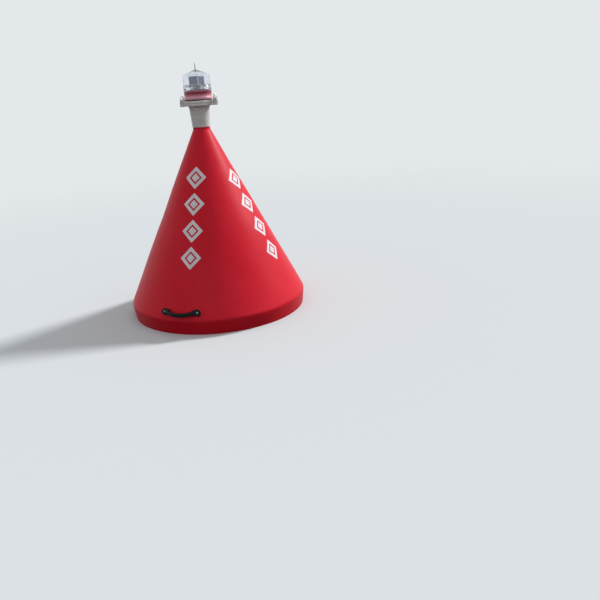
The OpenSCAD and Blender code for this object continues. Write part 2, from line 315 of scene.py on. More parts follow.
def linear(code):
    """An sRGB hex code as a linear colour with alpha."""
    parts = [int(code[i : i + 2], 16) / 255 for i in (0, 2, 4)]
    return [c / 12.92 if c <= 0.04045 else ((c + 0.055) / 1.055) ** 2.4 for c in parts] + [1.0]


def socket_of(source):
    """A socket as it is, or the first output in use of a node."""
    if isinstance(source, bpy.types.NodeSocket):
        return source
    return next(socket for socket in source.outputs if socket.enabled)


def add(tree, kind, settings=None, links=None):
    """Adds one node. Settings are its own fields or its inputs, and links join other nodes to its
    inputs. A link given without the name or number of an input goes to the first one."""
    node = tree.nodes.new("ShaderNode" + kind)
    if kind == "Mix":
        node.data_type = "RGBA"
    if links and not isinstance(links, dict):
        links = {0: links}
    for key, value in (settings or {}).items():
        if isinstance(key, str) and hasattr(node, key):
            setattr(node, key, value)
        else:
            node.inputs[key].default_value = value
    for key, source in (links or {}).items():
        tree.links.new(socket_of(source), node.inputs[key])
    return node


def feed(target, **sources):
    """Links nodes to the inputs of a shader or an output, whose names are written with underscores."""
    for key, source in sources.items():
        target.id_data.links.new(socket_of(source), target.inputs[key.replace("_", " ")])


# %% Helpers for materials
def material(name, **shader_values):
    """A new material with its Principled shader set. With it come the function that adds nodes to it,
    the shader, and Object coordinates for patterns."""
    made = bpy.data.materials.new(name)
    made.use_nodes = True
    node = functools.partial(add, made.node_tree)
    shader = made.node_tree.nodes["Principled BSDF"]
    for key, value in shader_values.items():
        shader.inputs[key.replace("_", " ")].default_value = value
    print("material:", name)
    return made, node, shader, node("TexCoord").outputs["Object"]


def two_tone(name, tones, pattern, rough=None, mask=None, kind="TexNoise", **shader_values):
    """A material whose pattern mixes two tones and sets the roughness between two values. A mask, if
    given, narrows the pattern's share in the tones. Its nodes come with it, so that more can be added."""
    made, node, shader, where = material(name, **shader_values)
    speck = node(kind, pattern, where)
    share = node("MapRange", mask, speck) if mask else speck
    tone = node("Mix", {A: linear(tones[0]), B: linear(tones[1])}, share)
    feed(shader, Base_Color=tone)
    if rough:
        feed(shader, Roughness=node("MapRange", {"To Min": rough[0], "To Max": rough[1]}, speck))
    return made, node, shader, where, tone


def dress(obj, *materials):
    """Gives an object its materials, in the order of their slots."""
    obj.data.materials.clear()
    for one in materials:
        obj.data.materials.append(one)
    return obj


# %% Helpers for handing pieces over
def hand_over(obj, slot, *nodes):
    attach(obj, "buoy")
    if nodes:
        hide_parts(*nodes)
    print(obj.name, "faces:", len(obj.data.polygons))


def done(obj, finish, slot, *nodes, sharp=32):
    """Smooths a piece up to a sharp angle, gives it its finish and hands it over."""
    smooth(obj, sharp)
    dress(obj, finish)
    hand_over(obj, slot, *nodes)


# %% [markdown]
# The camera comes first, so that every look at the work is the photograph's own view. Its place was
# worked out from the object's known sizes and where they fall in the picture: a focal length of 634
# pixels on a 600 pixel frame, at about the lantern's height, looking down past the buoy's right side.
# The camera is also rolled a few degrees, as a hand-held one is.

# %% The camera
def looking(azimuth, elevation, distance, aim=(0, 0, 0), roll=0):
    """The place of a camera or lamp that looks at the buoy. Azimuth 0 is the -Y side, and 90 is +X."""
    tilt = Matrix.Rotation(math.radians(90 - elevation), 4, "X")
    side = about_z(math.radians(azimuth)) @ at(*aim)
    return side @ tilt @ about_z(math.radians(roll)) @ at(0, 0, distance)


PHOTO_PX, FOCAL_PX, SENSOR = 600, 633.6, 36
CAM_AZIMUTH, CAM_ELEVATION, CAM_ROLL, CAM_DISTANCE = 18.2, 18.9, -3.75, 3765.8
AIM = (471.3, 0, 95.0)
bpy.ops.object.camera_add()
camera = bpy.context.object
camera.name = "photo_camera"
camera.matrix_world = looking(CAM_AZIMUTH, CAM_ELEVATION, CAM_DISTANCE, AIM, CAM_ROLL)
camera.data.sensor_width, camera.data.lens = SENSOR, SENSOR * FOCAL_PX / PHOTO_PX
bpy.context.scene.camera = camera
print("camera at", [round(v, 2) for v in camera.location], "lens", round(camera.data.lens, 1), "mm")

# %% [markdown]
# The stage is plain. The buoy floats, so the floor is the water's level and the hull goes on below it.
# The floor is a ring: the edge of a circle inside the hull is extruded and scaled far outwards. Inside
# the hull there is none, so no floor cuts through the mooring recess. Such a flat ring has no inside of
# its own, so the count of faces that look up is printed.

# %% The floor's ring
FLOOR_IN, FLOOR_OUT = 0.45, 60.0
FLOOR_SPREAD = FLOOR_OUT / FLOOR_IN
bpy.ops.mesh.primitive_circle_add(vertices=96, radius=FLOOR_IN, location=(0, 0, WATERLINE_Z * MM))
floor = bpy.context.object
floor.name = "floor"
edit(floor)
bpy.ops.mesh.extrude_edges_move()
bpy.ops.transform.resize(value=(FLOOR_SPREAD, FLOOR_SPREAD, 1), center_override=floor.location)
bpy.ops.mesh.select_all(action="SELECT")
bpy.ops.mesh.normals_make_consistent(inside=True)
leave()
faces_up = sum(1 for face in floor.data.polygons if face.normal.z > 0.9)
print("faces of the floor's ring:", len(floor.data.polygons), "of which look up:", faces_up)

# %% [markdown]
# The floor fades into the backdrop with distance, which hides the horizon from every side, and it can
# be seen through from underneath, so that the hull's foot and the mooring gear can be looked at too.
# It looks pale, but it throws little light back, as deep water does, so the hull's skirt stays dark.

# %% The floor's paint
BACKDROP, FLOOR_LOOK, FLOOR_LIGHT = linear("E4E8EA"), linear("D8DCDE"), linear("3A4042")
FADE_FROM, FADE_TO = 2.2, 7.0


def seen_directly(node):
    """1 for rays that come from the camera, a mirror or glass, and 0 for rays that only carry light."""
    path = node("LightPath").outputs
    seen = path["Is Camera Ray"]
    for kind in ("Is Glossy Ray", "Is Transmission Ray"):
        seen = node("Math", {"operation": "MAXIMUM"}, {0: seen, 1: path[kind]})
    return seen


floor_paint, node, shader, where = material("Matt_painted_floor", Roughness=0.9, Specular_IOR_Level=0.0)
looked_at = seen_directly(node)
paint = node("Mix", {A: FLOOR_LIGHT, B: FLOOR_LOOK}, looked_at)
feed(shader, Base_Color=paint)
distance = node("VectorMath", {"operation": "LENGTH"}, where)
fade_by = {"From Min": FADE_FROM, "From Max": FADE_TO, "interpolation_type": "SMOOTHSTEP"}
fade = node("MapRange", fade_by, distance)
share = node("Math", {"operation": "MULTIPLY"}, {0: fade, 1: looked_at})
far = node("Emission", {"Color": BACKDROP, "Strength": 1.0})
top_side = node("MixShader", {}, {0: share, 1: shader, 2: far})
underneath = node("NewGeometry").outputs["Backfacing"]
both_sides = node("MixShader", {}, {0: underneath, 1: top_side, 2: node("BsdfTransparent")})
feed(floor_paint.node_tree.nodes["Material Output"], Surface=both_sides)
dress(floor, floor_paint)
floor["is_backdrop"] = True
print("floor at", WATERLINE_Z, "mm, the waterline")

# %% [markdown]
# In the photograph a high sun stands behind the buoy's right side: the cone is bright on its right and
# deep red on its left. A sun lamp stands in for it, a little lower and further round, so that the lit
# side stays within what a picture can show. Its angle is wide, as that of a large soft box, so that
# shadows have soft edges. The world gives the rest. A white sheet on the floor gets a brightness of
# about one from the two together, so colours render about as they are written.

# %% The sun
SUN_AZIMUTH, SUN_ELEVATION, SUN_WIDTH = 135, 36, 10
SUN_STRENGTH, SUN_DISTANCE = 2.85, 5000.0
bpy.ops.object.light_add(type="SUN")
sun = bpy.context.object
sun.name = "soft_sun"
sun.matrix_world = looking(SUN_AZIMUTH, SUN_ELEVATION, SUN_DISTANCE)
sun.data.energy, sun.data.angle = SUN_STRENGTH, math.radians(SUN_WIDTH)
print("the sun stands at", [round(v, 2) for v in sun.location])

# %% The world
WORLD_STRENGTH = 0.57
scene = bpy.context.scene
scene.view_settings.view_transform = "Standard"
scene.world = bpy.data.worlds.new("studio")
scene.world.use_nodes = True
sky = scene.world.node_tree
node = functools.partial(add, sky)
lighting = sky.nodes["Background"]
lighting.inputs["Color"].default_value = linear("F2F5F8")
lighting.inputs["Strength"].default_value = WORLD_STRENGTH
backdrop = node("Background", {"Color": BACKDROP, "Strength": 1.0})
either = node("MixShader", {}, {0: seen_directly(node), 1: lighting, 2: backdrop})
feed(sky.nodes["World Output"], Surface=either)
on_floor = SUN_STRENGTH * math.sin(math.radians(SUN_ELEVATION)) / math.pi + WORLD_STRENGTH
print("light on the floor:", round(on_floor, 2))

# %% [markdown]
# The float is rotationally moulded polyethylene: powder melts onto the inside of a turning steel mould.
# That leaves a satin skin with a faint orange peel, slow waves where the plastic shrank off the mould,
# and a thin raised line where the mould's two halves met. Use adds fading, streaks, scuffs, and a
# brownish film at the waterline. The colour is built up in layers: each Mix node lays a colour over
# those before it, and its mask is noise of a real size, stretched to a narrow range.

# %% Red polyethylene: fading, streaks and painted shade on the skirt
red_skin, node, shader, where = material("Rotomoulded_polyethylene_red", IOR=1.51, Specular_IOR_Level=0.16)
height = node("SeparateXYZ", {}, where).outputs["Z"]
# slow patches of fading, about 300 mm across
patches = node("TexNoise", {"Scale": 3.2, "Detail": 2, "Roughness": 0.5}, where)
fading = node("MapRange", {"From Min": 0.4, "From Max": 0.68, "To Max": 0.4}, patches)
skin = node("Mix", {A: linear("E0122B"), B: linear("EA2A3E")}, fading)
# runs of dirty water, about 30 mm wide and twelve times as long, and only here and there
stretched = node("Mapping", {"Scale": (1, 1, 0.08)}, where)
runs = node("TexNoise", {"Scale": 34, "Detail": 3, "Roughness": 0.55}, stretched)
streaks = node("MapRange", {"From Min": 0.5, "From Max": 0.85, "To Max": 0.2}, runs)
skin = node("Mix", {B: linear("A60E20")}, {FACTOR: streaks, A: skin})
# painted shade: below the rim the skirt is painted a deeper red, which stands for the shade it lies in as
# it faces down towards the water
SKIRT_SHADE_START_Z, SKIRT_SHADE_FULL_Z = (RIM_Z + 4) * MM, (RIM_Z - 2) * MM
painted_skirt_shade = node("MapRange", {"From Min": SKIRT_SHADE_START_Z, "From Max": SKIRT_SHADE_FULL_Z, "To Max": 0.42}, height)
skin = node("Mix", {B: linear("B4000A")}, {FACTOR: painted_skirt_shade, A: skin})
print("the red so far: fading, streaks and damp")

# %% Red polyethylene: growth and scuffs
# below the waterline grows a brown and green film, patchy, with an uneven upper edge
GROWTH_NONE_Z, GROWTH_FULL_Z, GROWTH_WANDER = 0.14, 0.115, 0.05
wander = node("TexNoise", {"Scale": 14, "Detail": 6, "Roughness": 0.65}, where)
line = node("Math", {"operation": "MULTIPLY_ADD", 1: GROWTH_WANDER}, {0: wander, 2: height})
wet = node("MapRange", {"From Min": GROWTH_NONE_Z, "From Max": GROWTH_FULL_Z}, line)
patchy = {"From Min": 0.3, "From Max": 0.7, "To Min": 0.35, "To Max": 0.85}
growth = node("Math", {"operation": "MULTIPLY"}, {0: wet, 1: node("MapRange", patchy, wander)})
slime = node("Mix", {A: linear("4A2A1C"), B: linear("3A3A20")}, patches)
skin = node("Mix", {}, {FACTOR: growth, A: skin, B: slime})
# scuffs: thin broken lines from stretched noise, paler than the skin
slanted = node("Mapping", {"Rotation": (0.6, 0.3, 0.9), "Scale": (1, 14, 1)}, where)
rubs = node("TexNoise", {"Scale": 16, "Detail": 6, "Roughness": 0.75}, slanted)
scuffs = node("MapRange", {"From Min": 0.7, "From Max": 0.75, "To Max": 0.3}, rubs)
skin = node("Mix", {B: linear("EE6A72")}, {FACTOR: scuffs, A: skin})
print("the red so far: growth and scuffs too")

# %% Red polyethylene: gloss and relief
rough = node("MapRange", {"To Min": 0.34, "To Max": 0.52}, patches)
rougher = node("Math", {"operation": "MULTIPLY_ADD", 1: 0.3}, {0: wet, 2: rough})
# orange peel: cells of about 5 mm and about a twentieth of a millimetre deep, with the scuffs sunk in it
peel = node("TexNoise", {"Scale": 210, "Detail": 2, "Roughness": 0.5}, where)
low = node("Bump", {"Strength": 0.35, "Distance": 0.0004}, {"Height": peel})
sunk = {"Strength": 0.3, "Distance": 0.0004, "invert": True}
nick = node("Bump", sunk, {"Height": scuffs, "Normal": low})
feed(shader, Base_Color=skin, Roughness=rougher, Normal=nick)
print("nodes of the red:", len(red_skin.node_tree.nodes))

# %% [markdown]
# The hull is turned from its outline. Extra points along the slope give the surface enough vertices to
# carry the slow waves, which a Displace modifier adds with a cloud pattern. A vertex group keeps the
# waves off the top and the foot, where other parts have to sit flat.

# %% The hull's outline
RIM_ROUND, FOOT_ROUND, STUB_ROUND, TOP_ROUND = 40.0, 45.0, 30.0, 2.0
RECESS_H, RECESS_R, RECESS_MOUTH_R = 130.0, 120.0, 131.4
WALL_STEP = 26.0
hull_rows = [
    [0, RECESS_H, 0],
    [RECESS_R, RECESS_H, 10],
    [RECESS_MOUTH_R, 0, 14],
    [FOOT_R, 0, FOOT_ROUND],
    [RIM_R, RIM_Z, RIM_ROUND],
    [TOP_R, STUB_Z, STUB_ROUND],
    [TOP_R, TOP_Z, TOP_ROUND],
    [0, TOP_Z, 0],
]
outline = rounded(hull_rows, steps=8)
hull = turned("hull", spaced(outline, WALL_STEP), steps=192)
print("hull:", len(hull.data.vertices), "vertices")

# %% The hull's waves and pocket
WAVE_LENGTH, WAVE_H = 0.24, 5.5
CONE_FROM, FADE_IN, CONE_TO, FADE_OUT = RIM_Z + 6, 90.0, STUB_Z - 30, 150.0
SKIRT_FROM, SKIRT_TO, INSIDE_SKIRT_R = 50.0, RIM_Z - 36, 400.0
PLUG_Y, PLUG_R, PLUG_SINK, PLUG_T = 300.0, 32.0, 9.0, 9.0
waves = bpy.data.textures.new("shrink_waves", "CLOUDS")
waves.noise_scale, waves.noise_depth = WAVE_LENGTH, 1
group = hull.vertex_groups.new(name="free_wall")
for v in hull.data.vertices:
    z = v.co.z / MM
    on_cone = min(1, max(0, (z - CONE_FROM) / FADE_IN)) * min(1, max(0, (CONE_TO - z) / FADE_OUT))
    outside = v.co.xy.length > INSIDE_SKIRT_R * MM
    on_skirt = 0.5 if outside and SKIRT_FROM < z < SKIRT_TO else 0
    group.add([v.index], max(on_cone, on_skirt), "REPLACE")
displace = hull.modifiers.new("waves", "DISPLACE")
displace.texture, displace.vertex_group = waves, group.name
displace.strength, displace.mid_level = WAVE_H * MM, 0.5
apply_all(hull)
drill(hull, PLUG_R + 0.5, 2 * (PLUG_SINK + PLUG_T), at(0, PLUG_Y, 0), sides=64)
done(hull, red_skin, "red_polyethylene", "float_hull", sharp=40)

# %% [markdown]
# Where the mould's halves met, a thin line of plastic stands proud round the rim. It is what makes the
# rim read as a crisp edge from afar. It is a small half-round bead, turned like the hull.

# %% The parting line
BEAD_OUT, BEAD_HALF, BEAD_ROOT = 0.9, 2.0, 3.0
widest = max(outline, key=lambda point: point.x)
bead_r, bead_z = widest.x - BEAD_OUT, widest.y
bead_points = arc((bead_r, bead_z), (BEAD_OUT, BEAD_HALF), 90, -90, 6)
bead_points += [Vector((bead_r - BEAD_ROOT, bead_z + side * BEAD_HALF)) for side in (-1, 1)]
bead = turned("parting_line", bead_points + bead_points[:1], steps=192)
done(bead, red_skin, "red_polyethylene", sharp=60)

# %% [markdown]
# Each handle bolts to two bosses that are moulded with the hull. A boss flares out of the wall in a
# fillet and ends in a flat seat. All things on the wall are placed by one matrix, which stands at a bolt
# with its Z axis along the wall's outward normal. The rear handle is the front one, turned by half a
# turn about the buoy's axis.

# %% The handle bosses
HANDLES = {"front": 0.0, "back": math.pi}
HANDLE_SPAN, BOLT_UP = 183.0, 40.0
BOLT_Z = RIM_Z + BOLT_UP
BOLT_R = RIM_R - BOLT_UP * math.tan(CONE_ANGLE)
BOLT_TURN = math.asin(HANDLE_SPAN / 2 / BOLT_R)
BOSS_H, LUG_T, LUG_W, LUG_NECK_W, LUG_LEN, GRIP_D = 5.0, 11.0, 38.0, 30.0, 18.0, 21.0


def on_wall(side, turn=0.0):
    """The place of a handle bolt on the wall. Side is -1 or 1, and turn goes round the buoy."""
    outward = Matrix.Rotation(math.pi / 2 - CONE_ANGLE, 4, "X")
    return about_z(turn + side * BOLT_TURN) @ at(0, -BOLT_R, BOLT_Z) @ outward


boss_rows = [
    [0, -7, 0],
    [LUG_W / 2 + 4.6, -7, 0],
    [LUG_W / 2 + 3.8, 0.2, 0],
    [LUG_W / 2 + 0.6, 1.6, 2.5],
    [LUG_W / 2, BOSS_H, 0.8],
    [0, BOSS_H, 0],
]
boss = turned("boss", rounded(boss_rows, steps=5), steps=48)
for place, turn in HANDLES.items():
    pair = joined("bosses_" + place, [copy_to(boss, on_wall(side, turn)) for side in (-1, 1)])
    done(pair, red_skin, "red_polyethylene", sharp=40)
discard(boss)

# %% [markdown]
# Four columns of plain white marks run down the cone, two of them set a little lower. They are cut from
# white self-adhesive film, so they are thin sheets that lie on the wall: a flat square grid turned on
# its corner, rolled onto the cone, pressed onto the waves of the hull with Shrinkwrap, and given its
# thickness by Solidify. The film, the neck and the lantern are all white plastics with a dusty skin, so
# one function makes each of them.


# %% White plastic
def white_plastic(name, code, dirt, rough, grain, peel, glow=0.0):
    """White plastic with a yellowed, dusty skin. Grain is the bump's scale, peel its strength, and glow
    the share of light that wanders about 10 mm through the plastic before it comes out again."""
    inside = {"Subsurface_Weight": glow, "Subsurface_Radius": (1.0, 0.9, 0.8), "Subsurface_Scale": 0.01}
    clouds = {"Scale": 26, "Detail": 5, "Roughness": 0.65}
    dusty = {"From Min": 0.46, "From Max": 0.74, "To Max": 0.5}
    made, node, shader, where, skin = two_tone(
        name, (code, dirt), clouds, (rough - 0.1, rough + 0.14), dusty, IOR=1.5, **inside
    )
    stretched = node("Mapping", {"Scale": (1, 1, 0.1)}, where)
    runs = node("TexNoise", {"Scale": 130, "Detail": 4, "Roughness": 0.6}, stretched)
    streaks = node("MapRange", {"From Min": 0.56, "From Max": 0.76, "To Max": 0.35}, runs)
    skin = node("Mix", {B: linear(dirt)}, {FACTOR: streaks, A: skin})
    fine = node("TexNoise", {"Scale": grain, "Detail": 2}, where)
    bump = node("Bump", {"Strength": peel, "Distance": 0.0003}, {"Height": fine})
    feed(shader, Base_Color=skin, Normal=bump)
    return made


film_white = white_plastic("Vinyl_film_white", "EDE6EB", "CDBBBE", 0.4, 500, 0.25)

# %% One mark
MARK_W, MARK_H = 116.0, 124.0
GAP_IN, GAP_OUT, CORNER = 0.18, 0.28, 0.03
ROLL_GAP = 0.6


def cut_mark():
    """A flat diamond of film in the XY plane: a frame of one band, with a smaller diamond inside."""
    bpy.ops.mesh.primitive_grid_add(x_subdivisions=20, y_subdivisions=20, size=1)
    obj = bpy.context.object
    edit(obj)
    pick("FACE", lambda f: GAP_IN < max(abs(v) for v in f.calc_center_median()) < GAP_OUT)
    bpy.ops.mesh.delete(type="FACE")
    pick("VERT", lambda v: min(abs(v.co.x), abs(v.co.y)) > 0.49)
    bpy.ops.mesh.bevel(affect="VERTICES", offset=CORNER, segments=3)
    leave()
    moved(obj, about_z(math.pi / 4))
    obj.scale = (MARK_W * MM / math.sqrt(2), MARK_H * MM / math.sqrt(2), 1)
    return settle(obj)


def roll_on(obj, azimuth, height):
    """Rolls a flat piece onto the cone, with its middle at a height above the rim."""
    apex = RIM_R / math.sin(CONE_ANGLE)
    for v in obj.data.vertices:
        slant = apex - height / math.cos(CONE_ANGLE) - v.co.y / MM
        turn = math.radians(azimuth) + v.co.x / MM / (slant * math.sin(CONE_ANGLE))
        r = slant * math.sin(CONE_ANGLE) + ROLL_GAP
        z = RIM_Z + (apex - slant) * math.cos(CONE_ANGLE)
        v.co = Vector((r * math.sin(turn), -r * math.cos(turn), z)) * MM


mark = cut_mark()
print("one mark:", len(mark.data.polygons), "faces")

# %% The columns of marks
# azimuth of each column, with the height of its lowest mark above the rim
MARK_COLUMNS = {4.0: 300.0, 84.5: 270.0, 184.0: 300.0, 264.5: 270.0}
MARK_PITCH, MARKS_A_COLUMN = 130.0, 4
FILM_T, FILM_GAP = 0.5, 0.15

for column, (azimuth, lowest) in enumerate(MARK_COLUMNS.items(), 1):
    sheets = []
    for i in range(MARKS_A_COLUMN):
        sheet = copy_to(mark, Matrix())
        roll_on(sheet, azimuth, lowest + i * MARK_PITCH)
        wrap = sheet.modifiers.new("press", "SHRINKWRAP")
        wrap.target, wrap.offset = hull, FILM_GAP * MM
        wrap.wrap_method, wrap.wrap_mode = "NEAREST_SURFACEPOINT", "ABOVE_SURFACE"
        thick = sheet.modifiers.new("film", "SOLIDIFY")
        thick.thickness, thick.offset = FILM_T * MM, 1
        sheets.append(apply_all(sheet))
    done(joined(f"marks_{column}", sheets), film_white, "white_plastic", sharp=50)
discard(mark)

# %% [markdown]
# The handles are moulded from black rubber: a flat lug with a bolt at each end, a knuckle where the lug
# turns into the grip, and a grip with shallow ribs. The parts are built separately, with the grip as a
# curve that is swept with an oval, then melted together by a voxel Remesh and relaxed by Smooth, which
# leaves the soft fillets that a rubber moulding has.

# %% Black rubber
clouds = {"Scale": 90, "Detail": 5, "Roughness": 0.6}
dusty = {"From Min": 0.45, "From Max": 0.75, "To Max": 0.5}
dull = {"IOR": 1.52, "Specular_IOR_Level": 0.14}
rubber, node, shader, where, tone = two_tone(
    "Moulded_rubber_black", ("050506", "131418"), clouds, (0.3, 0.56), dusty, **dull
)
stipple = node("TexVoronoi", {"Scale": 900, "feature": "SMOOTH_F1"}, where)
feed(shader, Normal=node("Bump", {"Strength": 0.3, "Distance": 0.0002}, {"Height": stipple}))

# %% The grip's line
GRIP_OUT, GRIP_DROP = 35.0, 5.0
LUG_MID = BOSS_H + LUG_T / 2
grip_end = (on_wall(1) @ Vector((-LUG_LEN * MM, 0, LUG_MID * MM))) / MM
sag = math.hypot(GRIP_OUT, GRIP_DROP)
arc_r = (grip_end.x**2 + sag**2) / (2 * sag)
arc_half = math.asin(grip_end.x / arc_r)
arc_len = 2 * arc_half * arc_r
droop = Vector((0, -GRIP_OUT, -GRIP_DROP)) / sag
chord = Vector((0, grip_end.y, grip_end.z))


def grip_point(t):
    """A point of the grip's arc in metres, for t from -1 to 1."""
    a = t * arc_half
    depth = arc_r * math.cos(a) - (arc_r - sag)
    return (chord + Vector((arc_r * math.sin(a), 0, 0)) + droop * depth) * MM


print("the grip ends at", [round(v, 1) for v in grip_end])

# %% The grip
GRIP_STEPS, OVAL = 160, (0.92, 1.08, 1)
RIBS, RIB_PITCH, RIB_H = 11, 7.0, 0.045
THIN, SWELL, FLARE, FLARE_FROM = 0.94, 0.06, 0.16, 0.8

bpy.ops.curve.primitive_bezier_circle_add(radius=GRIP_D / 2 * MM)
oval = bpy.context.object
oval.scale = OVAL
bpy.ops.curve.primitive_nurbs_path_add()
sweep = bpy.context.object
sweep.data.splines.clear()
line = sweep.data.splines.new("POLY")
line.points.add(GRIP_STEPS)
for i, point in enumerate(line.points):
    t = 2 * i / GRIP_STEPS - 1
    along = t * arc_len / 2
    rib = 0.5 + 0.5 * math.cos(math.tau * along / RIB_PITCH) if abs(along) < RIBS * RIB_PITCH / 2 else 0
    flare = max(0, abs(t) - FLARE_FROM) / (1 - FLARE_FROM)
    point.co = (*grip_point(t), 1)
    point.radius = THIN + SWELL * (1 - t * t) + RIB_H * rib + FLARE * flare
sweep.data.dimensions = "3D"
sweep.data.twist_mode = "Z_UP"
sweep.data.bevel_mode = "OBJECT"
sweep.data.bevel_object = oval
sweep.data.use_fill_caps = True
only(sweep)
bpy.ops.object.convert(target="MESH")
grip = clean(settle(bpy.context.object))
discard(oval)
print("grip length", round(arc_len, 1), "mm")


# %% One handle
LUG_EDGE, KNUCKLE_R, KNUCKLE_UP = 2.6, GRIP_D / 2 * 1.1, 0.6
VOXEL, RELAX_SHARE, RELAX_TIMES = 1.0, 0.5, 5


def lug(side):
    """A lug's parts: round-edged discs in a row, smaller towards the grip, and a knuckle at its root."""
    parts = []
    for share, t in ((0, LUG_T), (0.33, LUG_T), (0.66, LUG_T + 0.5), (1, LUG_T + 2)):
        r = LUG_W / 2 + (LUG_NECK_W - LUG_W) / 2 * share
        disc = eased(cylinder(r, t, Matrix()), LUG_EDGE, 4)
        parts.append(moved(disc, on_wall(side) @ at(-side * LUG_LEN * share, 0, LUG_MID)))
    bpy.ops.mesh.primitive_uv_sphere_add(segments=32, ring_count=20, radius=KNUCKLE_R * MM)
    root = on_wall(side) @ at(-side * (LUG_LEN + 1), 0, LUG_MID + KNUCKLE_UP)
    return parts + [moved(bpy.context.object, root)]


handle = joined("handle", [grip] + lug(-1) + lug(1))
melt = handle.modifiers.new("melt", "REMESH")
melt.mode, melt.voxel_size = "VOXEL", VOXEL * MM
relax = handle.modifiers.new("relax", "SMOOTH")
relax.factor, relax.iterations = RELAX_SHARE, RELAX_TIMES
apply_all(handle)
print("melted handle:", len(handle.data.polygons), "faces")

# %% Bolt seats in the lugs
SEAT_SINK, SINK_R, HOLE_R, BEYOND = 1.4, 7.0, 4.5, 10
for side in (-1, 1):
    for r, low in ((SINK_R, LUG_T - SEAT_SINK), (HOLE_R, -BEYOND)):
        high = LUG_T + BEYOND
        drill(handle, r, high - low, on_wall(side) @ at(0, 0, BOSS_H + (low + high) / 2))
for place, turn in HANDLES.items():
    one = joined("rubber_handle_" + place, [copy_to(handle, about_z(turn))])
    done(one, rubber, "handle_rubber", "handle_" + place, sharp=40)
discard(handle)

# %% [markdown]
# Bolts are stainless steel. A dome-headed bolt is turned, with a hexagonal socket sunk in its top. A hex
# nut is a six-sided cylinder with its corners chamfered. Each is modelled once at the origin and copied
# to where the CAD says, each copy with its own mesh.

# %% Stainless steel
grain = {"Scale": 700, "Detail": 4, "Roughness": 0.7}
stainless = two_tone("Stainless_steel_turned", ("8E9094", "606266"), grain, (0.2, 0.42), Metallic=1.0)[0]
grain = {"Scale": 500, "Detail": 3}
polished = two_tone("Stainless_steel_polished", ("F0F0EE", "DADAD8"), grain, (0.1, 0.24), Metallic=1.0)[0]


# %% Bolts and washers
# how far a hexagon's chamfer goes in and up, and where its top face starts, as shares of its radius
CHAMFER_IN, CHAMFER_UP, TOP_IN = 0.14, 0.07, 0.1


def washer(outer, inner, t):
    """A washer on the XY plane."""
    points = rounded([[inner, 0, 0.2], [outer, 0, 0.3], [outer, t, 0.4], [inner, t, 0.2]], steps=3)
    return smooth(turned("washer", points + points[:1], steps=48))


def dome_bolt(r, h, socket):
    """A domed head on the XY plane with a hexagonal socket."""
    angles = [i * math.pi / 20 for i in range(11)]
    points = [Vector((r * math.sin(a), h * math.cos(a) ** 0.8)) for a in angles]
    head = turned("dome", points + [Vector((0, 0))], steps=48)
    return smooth(drill(head, socket, h, at(0, 0, h), sides=6))


def hex_head(flats, h):
    """A hexagonal head or nut on the XY plane, with its top corners chamfered."""
    r = flats / math.sqrt(3)
    head = cylinder(r, h, at(0, 0, h / 2), sides=6)
    edit(head)
    pick("FACE", lambda f: f.normal.z > 0.9)
    bpy.ops.mesh.inset(thickness=r * CHAMFER_IN * MM)
    bpy.ops.transform.translate(value=(0, 0, r * CHAMFER_UP * MM))
    bpy.ops.mesh.inset(thickness=r * TOP_IN * MM)
    leave()
    return smooth(eased(head, 0.35, 2))


def fasten(name, stack, places, finish):
    """Copies a stack of fastener parts to each place and joins the copies into one piece."""
    made = joined(name, [copy_to(part, place) for place in places for part in stack])
    discard(*stack)
    dress(made, finish)
    hand_over(made, "galvanised_steel")


# %% Handle bolts
SEAT_Z = BOSS_H + LUG_T - SEAT_SINK
for place, turn in HANDLES.items():
    stack = [
        moved(washer(outer=6.4, inner=4.4, t=SEAT_SINK), at(0, 0, SEAT_Z)),
        moved(dome_bolt(r=5.0, h=4.0, socket=2.2), at(0, 0, SEAT_Z + SEAT_SINK)),
    ]
    fasten("handle_bolts_" + place, stack, [on_wall(side, turn) for side in (-1, 1)], stainless)

# %% [markdown]
# The neck is white plastic. It stands on the cone's top and widens upwards to a flange with three ears,
# and the lantern's own flange, with the same outline, is bolted onto it. A flange is drawn as a flat
# outline with the pen, filled, extruded to its thickness, and given rounded edges with a bevel.

# %% The neck
NECK_FOOT_R, NECK_TOP_R, NECK_FLARE_R = 48.2, 54.8, 60.5
white_neck = white_plastic("Weathered_polyethylene_white", "E8E5E0", "B4AC9F", 0.42, 260, 0.3, 0.7)
neck_rows = [
    [0, TOP_Z, 0],
    [NECK_FOOT_R, TOP_Z, 1.5],
    [NECK_FOOT_R + 0.3, TOP_Z + 8, 0],
    [NECK_TOP_R, NECK_FLANGE_Z - 8, 12],
    [NECK_FLARE_R, NECK_FLANGE_Z, 0],
    [0, NECK_FLANGE_Z, 0],
]
neck = turned("white_neck", rounded(neck_rows, steps=8))
done(neck, white_neck, "white_plastic", "neck")

# %% The flange's outline
FLANGE_R, EAR_AT, EAR_R, EAR_ROOT, EAR_HOLE_R = 79.0, 100.0, 14.0, 25.0, 4.5
EARS = [math.pi + i * math.tau / 3 + LANTERN_TURN - math.pi / 2 for i in range(3)]
ear_places = [about_z(ear) @ at(EAR_AT, 0, 0) for ear in EARS]


def flange_outline():
    """The flange's outline in millimetres: three ears, each with the arc of the disc that follows it."""
    root = math.degrees(math.asin(EAR_ROOT / FLANGE_R))
    tip = arc((EAR_AT, 0), (EAR_R, EAR_R), -75, 75, 10)
    disc = arc((0, 0), (FLANGE_R, FLANGE_R), root, 120 - root, 24)
    return [Matrix.Rotation(ear, 2) @ point for ear in EARS for point in tip + disc]


print("points of the flange's outline:", len(flange_outline()))


